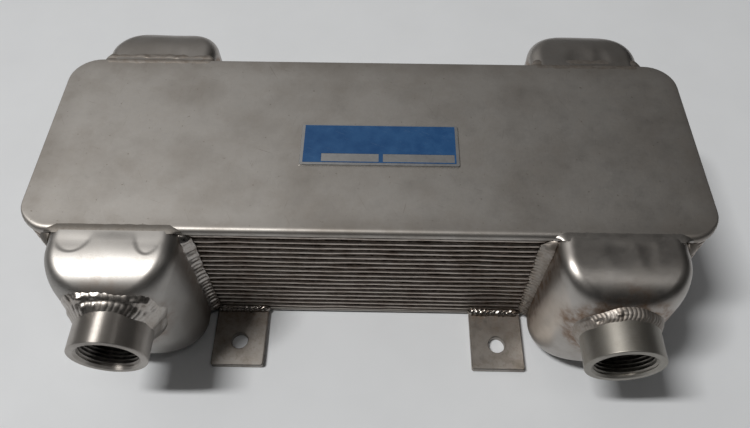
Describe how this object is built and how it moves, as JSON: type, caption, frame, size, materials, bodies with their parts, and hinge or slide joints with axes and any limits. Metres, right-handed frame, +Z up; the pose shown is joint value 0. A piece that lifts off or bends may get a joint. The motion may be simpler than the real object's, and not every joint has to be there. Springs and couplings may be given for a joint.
{
  "type": "plate heat exchanger",
  "caption": "Compact welded plate heat exchanger: a stack of plate cells between flat cover plates, with pressed corner headers, threaded pipe couplings and bolt-down feet.",
  "frame": {"origin": "middle of the bottom face, at floor level", "axes": "+X along the core to the right, +Y to the back, +Z up"},
  "size_m": [0.306, 0.197, 0.0786],
  "materials": {
    "cover": "satin, faintly mottled",
    "cell": "dull, with brown heat tint in the grooves",
    "header": "smooth pressed sheet, half polished",
    "coupling": "turned, satin",
    "foot": "dull sheet",
    "nameplate": "blue field with bare metal rim"
  },
  "bodies": {
    "root": {"bottom_cover": "cover", "top_cover": "cover", "cell_01": "cell", "cell_02": "cell", "cell_03": "cell", "cell_04": "cell", "cell_05": "cell", "cell_06": "cell", "cell_07": "cell", "cell_08": "cell", "cell_09": "cell", "cell_10": "cell", "cell_11": "cell", "cell_12": "cell", "cell_13": "cell", "cell_14": "cell", "cell_15": "cell", "cell_16": "cell", "cell_17": "cell", "header_front_left": "header", "header_front_right": "header", "header_back_left": "header", "header_back_right": "header", "coupling_front_left": "coupling", "coupling_front_right": "coupling", "coupling_back_left": "coupling", "coupling_back_right": "coupling", "foot_front_left": "foot", "foot_front_right": "foot", "foot_back_left": "foot", "foot_back_right": "foot", "nameplate": "nameplate"}
  },
  "joints": []
}
